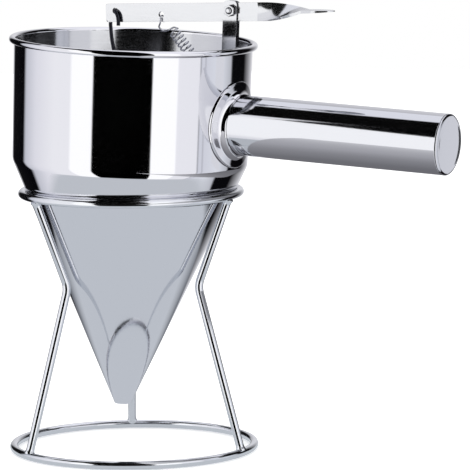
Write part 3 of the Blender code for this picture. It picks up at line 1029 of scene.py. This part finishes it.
# small cards beside the object, which only its metal sees
cards = {
    "cap": {"reach": 0.1, "bearing": 124, "fall": 8, "size": (0.05, 0.078), "colour": "#d2d3d8"},
    # painted reflection: a black card just in front of the bracket's ear
    "ear": {"centre": (-0.0071, -0.0175, 0.2273), "size": (0.0105, 0.0085), "colour": "#000000"},
    "twistFlag": {  # black, in the lever's twist: bearing and rise of each corner
        "centre": (0.025, 0, 0.243),
        "reach": 1.5,
        "corners": ((-37.3, 8), (-37.3, 48), (-59, 36), (-60, 48)),
        "colour": "#000000",
    },
    "insideFlag": {  # black, in the left of the bowl's inside
        "centre": (-0.062, 0, 0.21),
        "reach": 1.5,
        "corners": ((88, 7), (88, 42), (116, 7), (116, 42)),
        "colour": "#050506",
    },
    "underHandle": {  # slants away below the handle, so that the bowl doesn't see it
        "x": (0.0655, 0.19),
        "drop": (0.0325, 0.063),
        "across": (-3.05, 1.6),  # its edges, in drops to the camera's side and to the rear
        # painted shade: greys that darken from the camera's side to the rear
        "paintedShadeTones": (
            (0, "#d0d0d3"),
            (0.165, "#c0c0c3"),
            (0.43, "#a6a6aa"),
            (0.543, "#8b8b8f"),
            (0.666, "#747478"),
            (0.757, "#6e6e72"),
            (1, "#69696d"),
        ),
    },
}


def studioCard(name, centre, facing, size, colour="#ffffff"):
    turn = Vector(facing).to_track_quat("Z", "Y").to_euler()
    bpy.ops.mesh.primitive_plane_add(size=1, location=centre, rotation=turn)
    card = bpy.context.object
    card.name = card.data.name = name
    card.scale = (*size, 1)
    bpy.ops.object.transform_apply(location=True, rotation=True, scale=True)
    for ray in ("camera", "diffuse", "transmission", "volume_scatter", "shadow"):
        setattr(card, "visible_" + ray, False)
    paint = bpy.data.materials.new(name + "Paint")
    paint.use_nodes = True
    paint.node_tree.nodes.clear()
    light = addNode(
        paint.node_tree,
        "ShaderNodeEmission",
        {"Color": linear(colour), "Strength": studio["strength"]},
    )
    addNode(paint.node_tree, "ShaderNodeOutputMaterial", {"Surface": light.outputs[0]})
    card.data.materials.append(paint)
    return light


def fromCamera(degrees, fall=0):  # a direction to the right of the camera, seen from above
    heading = math.radians(degrees + camera["azimuth"])
    drop = math.radians(fall)
    level = math.cos(drop)
    return Vector((math.sin(heading) * level, -math.cos(heading) * level, -math.sin(drop)))


capLook = cards["cap"]
towardsCard = fromCamera(capLook["bearing"], capLook["fall"])
capMiddle = leaning() @ Vector((handle["reach"], 0, handle["height"]))
cardMiddle = capMiddle + towardsCard * capLook["reach"]
studioCard("capCard", cardMiddle, towardsCard, capLook["size"], capLook["colour"])

# painted reflection: a black card just in front of the bracket's ear, seen only in the metal, puts a dark
# patch on the ear
earLook = cards["ear"]
studioCard("earCard", earLook["centre"], (0, -1, 0), earLook["size"], earLook["colour"])

for name in ("twistFlag", "insideFlag"):
    flag = cards[name]
    studioCard(name, (0, 0, 0), (0, 0, 1), (1, 1), flag["colour"])
    for vertex, (bearingHere, rise) in zip(bpy.data.objects[name].data.vertices, flag["corners"]):
        vertex.co = Vector(flag["centre"]) + fromCamera(bearingHere, -rise) * flag["reach"]

# painted shade: a glowing grey card, seen only in the metal, darkens from the camera's side to the rear and
# shades the handle's underside
under = cards["underHandle"]
light = studioCard("underHandleCard", (0, 0, 0), (0, 0, 1), (1, 1))
tree = light.id_data
corners = []
for x, drop in zip(under["x"], under["drop"]):
    corners += [leaning() @ Vector((x, drop * side, handle["height"] - drop)) for side in under["across"]]
for vertex in bpy.data.objects["underHandleCard"].data.vertices:
    vertex.co = corners[(2 if vertex.co.x > 0 else 0) + (1 if vertex.co.y > 0 else 0)]
cardPlace = addNode(tree, "ShaderNodeTexCoord")
split = addNode(tree, "ShaderNodeSeparateXYZ", {0: cardPlace.outputs["Object"]})
dropHere = addNode(
    tree,
    "ShaderNodeMapRange",
    {
        "Value": split.outputs["X"],
        "From Min": corners[0].x,
        "From Max": corners[2].x,
        "To Min": under["drop"][0],
        "To Max": under["drop"][1],
    },
)
inDrops = addNode(
    tree,
    "ShaderNodeMath",
    {0: split.outputs["Y"], 1: dropHere.outputs[0]},
    operation="DIVIDE",
)
depth = addNode(
    tree,
    "ShaderNodeMapRange",
    {"Value": inDrops.outputs[0], "From Min": under["across"][0], "From Max": under["across"][1]},
)
paintedShadeTones = greyRamp(tree, depth.outputs[0], under["paintedShadeTones"])
tree.links.new(paintedShadeTones.outputs["Color"], light.inputs["Color"])

world = bpy.data.worlds.new("studio")
scene.world = world
world.use_nodes = True
tree = world.node_tree
tree.nodes.clear()
rays = addNode(tree, "ShaderNodeLightPath")
direction = addNode(tree, "ShaderNodeTexCoord")
fromView = addNode(
    tree,
    "ShaderNodeVectorRotate",
    {"Vector": direction.outputs["Generated"], "Angle": math.radians(-camera["azimuth"])},
    rotation_type="Z_AXIS",
)
split = addNode(tree, "ShaderNodeSeparateXYZ", {0: fromView.outputs[0]})
towards = addNode(tree, "ShaderNodeMath", {0: split.outputs["Y"], 1: -1.0}, operation="MULTIPLY")
angle = addNode(
    tree,
    "ShaderNodeMath",
    {0: split.outputs["X"], 1: towards.outputs[0]},
    operation="ARCTAN2",
)
share = addNode(
    tree,
    "ShaderNodeMapRange",
    {"Value": angle.outputs[0], "From Min": -math.pi, "From Max": math.pi},
)
ceilingRise = math.sin(math.radians(studio["ceilingFrom"]))
ceiling = addNode(
    tree,
    "ShaderNodeMapRange",
    {
        "Value": split.outputs["Z"],
        "From Min": ceilingRise - studio["ceilingBlur"],
        "From Max": ceilingRise + studio["ceilingBlur"],
    },
)
walls, lamps = [
    greyRamp(tree, share.outputs[0], [((degrees + 180) / 360, grey) for degrees, grey in studio[part]])
    for part in ("around", "overhead")
]
surround = addNode(tree, "ShaderNodeMix", {"Factor": ceiling.outputs[0]}, data_type="RGBA")
tree.links.new(walls.outputs["Color"], surround.inputs["A"])
tree.links.new(lamps.outputs["Color"], surround.inputs["B"])
inMetal = addNode(
    tree,
    "ShaderNodeBackground",
    {"Color": surround.outputs["Result"], "Strength": studio["strength"]},
)
elsewhere = addNode(tree, "ShaderNodeBackground", {"Color": (1, 1, 1, 1), "Strength": 1.0})
seen = addNode(
    tree,
    "ShaderNodeMixShader",
    {0: rays.outputs["Is Glossy Ray"], 1: elsewhere.outputs[0], 2: inMetal.outputs[0]},
)
addNode(tree, "ShaderNodeOutputWorld", {"Surface": seen.outputs[0]})
print("studio made")

toCamera = fromCamera(0, -camera["elevation"])
imageRight = Vector((math.cos(bearing), math.sin(bearing), 0))
aim = standAxis + imageRight * camera["aim"][0] + Vector((0, 0, camera["aim"][1]))
bpy.ops.object.camera_add()
shot = bpy.context.object
shot.name = "photographView"
frameAxes = Matrix((imageRight, toCamera.cross(imageRight), toCamera)).transposed().to_4x4()
frameAxes.translation = aim + toCamera * camera["distance"]
shot.matrix_world = frameAxes @ Matrix.Rotation(math.radians(camera["roll"]), 4, "Z")
shot.data.lens = camera["lens"]
shot.data.sensor_width = 36
shot.data.clip_end = 20
scene.camera = shot
